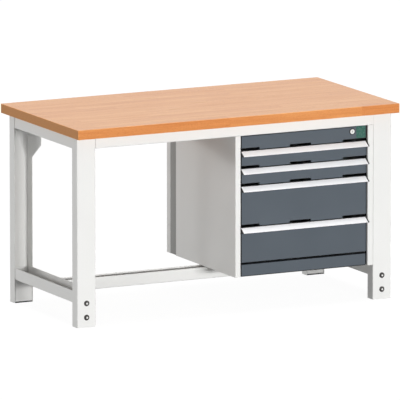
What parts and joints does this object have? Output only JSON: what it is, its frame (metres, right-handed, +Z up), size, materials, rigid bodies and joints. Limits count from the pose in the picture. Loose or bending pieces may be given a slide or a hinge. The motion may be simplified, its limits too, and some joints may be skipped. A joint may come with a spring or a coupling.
{
  "type": "workbench",
  "caption": "Workbench: thick wooden top on a folded-steel frame, open knee space at the left and a lockable cabinet of drawers with full-width grips at the right.",
  "frame": {"origin": "centre of the whole outline, on the floor", "axes": "+X to the right along the width, -Y to the front where the drawers open, +Z up"},
  "size_m": [1.5, 0.75, 0.84],
  "materials": {
    "worktop_wood": "laminated beech, oiled, low sheen",
    "frame_paint": "light-grey powder coat, satin",
    "front_paint": "anthracite powder coat, satin",
    "grip_aluminium": "natural anodised, satin",
    "cap_plastic": "black, fine grain",
    "zinc": "bright zinc plating",
    "lock_chrome": "polished nickel plating",
    "plate_green": "plain dark green, glossy"
  },
  "bodies": {
    "bench": {"worktop": "worktop_wood", "badge_plate": "plate_green", "lock_barrel": "lock_chrome", "plinth_panel": "front_paint", "lock_panel": "front_paint", "left_front_upright": "frame_paint", "left_rear_upright": "frame_paint", "right_front_upright": "frame_paint", "right_rear_upright": "frame_paint", "left_top_rail": "frame_paint", "right_top_rail": "frame_paint", "left_lower_rail": "frame_paint", "right_lower_rail": "frame_paint", "gusset_plates": "frame_paint", "front_top_rail": "frame_paint", "rear_top_rail": "frame_paint", "lower_stretcher": "frame_paint", "left_front_foot": "frame_paint", "left_rear_foot": "frame_paint", "right_front_foot": "frame_paint", "right_rear_foot": "frame_paint", "leg_bolts": "zinc", "frame_bolts": "zinc", "worktop_screws": "zinc", "cabinet_bolts": "zinc", "cabinet_left_side": "frame_paint", "cabinet_right_side": "frame_paint", "cabinet_back": "frame_paint", "cabinet_top": "frame_paint", "cabinet_base": "frame_paint", "drawer_1_cabinet_runners": "zinc", "drawer_2_cabinet_runners": "zinc", "drawer_3_cabinet_runners": "zinc", "drawer_4_cabinet_runners": "zinc"},
    "drawer_1": {"drawer_1_front": "front_paint", "drawer_1_handle": "grip_aluminium", "drawer_1_end_caps": "cap_plastic", "drawer_1_box": "frame_paint", "drawer_1_back": "frame_paint", "drawer_1_drawer_runners": "zinc"},
    "middle_runners_1": {"drawer_1_middle_runners": "zinc"},
    "drawer_2": {"drawer_2_front": "front_paint", "drawer_2_handle": "grip_aluminium", "drawer_2_end_caps": "cap_plastic", "drawer_2_box": "frame_paint", "drawer_2_back": "frame_paint", "drawer_2_drawer_runners": "zinc"},
    "middle_runners_2": {"drawer_2_middle_runners": "zinc"},
    "drawer_3": {"drawer_3_front": "front_paint", "drawer_3_handle": "grip_aluminium", "drawer_3_end_caps": "cap_plastic", "drawer_3_box": "frame_paint", "drawer_3_back": "frame_paint", "drawer_3_drawer_runners": "zinc"},
    "middle_runners_3": {"drawer_3_middle_runners": "zinc"},
    "drawer_4": {"drawer_4_front": "front_paint", "drawer_4_handle": "grip_aluminium", "drawer_4_end_caps": "cap_plastic", "drawer_4_box": "frame_paint", "drawer_4_back": "frame_paint", "drawer_4_drawer_runners": "zinc"},
    "middle_runners_4": {"drawer_4_middle_runners": "zinc"},
    "lock_core": {"lock_core": "lock_chrome"},
    "lock_bar": {"lock_bar": "zinc"}
  },
  "joints": [
    {"name": "drawer_1_slide", "type": "slide", "parent": "bench", "child": "drawer_1", "axis": [0, -1, 0], "range_m": [0, 0.55]},
    {"name": "middle_runners_1_slide", "type": "slide", "parent": "bench", "child": "middle_runners_1", "axis": [0, -1, 0], "range_m": [0, 0.275]},
    {"name": "drawer_2_slide", "type": "slide", "parent": "bench", "child": "drawer_2", "axis": [0, -1, 0], "range_m": [0, 0.55]},
    {"name": "middle_runners_2_slide", "type": "slide", "parent": "bench", "child": "middle_runners_2", "axis": [0, -1, 0], "range_m": [0, 0.275]},
    {"name": "drawer_3_slide", "type": "slide", "parent": "bench", "child": "drawer_3", "axis": [0, -1, 0], "range_m": [0, 0.55]},
    {"name": "middle_runners_3_slide", "type": "slide", "parent": "bench", "child": "middle_runners_3", "axis": [0, -1, 0], "range_m": [0, 0.275]},
    {"name": "drawer_4_slide", "type": "slide", "parent": "bench", "child": "drawer_4", "axis": [0, -1, 0], "range_m": [0, 0.55]},
    {"name": "middle_runners_4_slide", "type": "slide", "parent": "bench", "child": "middle_runners_4", "axis": [0, -1, 0], "range_m": [0, 0.275]},
    {"name": "lock_turn", "type": "hinge", "parent": "bench", "child": "lock_core", "pos_m": [0.5535, -0.324, 0.727], "axis": [0, 1, 0], "range_deg": [0, 90]},
    {"name": "lock_bar_slide", "type": "slide", "parent": "bench", "child": "lock_bar", "axis": [0, 0, -1], "range_m": [0, 0.008]}
  ],
  "couplings": [
    {"joint": "middle_runners_1_slide", "follows": "drawer_1_slide", "ratio": 0.5},
    {"joint": "middle_runners_2_slide", "follows": "drawer_2_slide", "ratio": 0.5},
    {"joint": "middle_runners_3_slide", "follows": "drawer_3_slide", "ratio": 0.5},
    {"joint": "middle_runners_4_slide", "follows": "drawer_4_slide", "ratio": 0.5},
    {"joint": "lock_turn", "follows": "lock_bar_slide", "rad_per_m": 196.3}
  ]
}
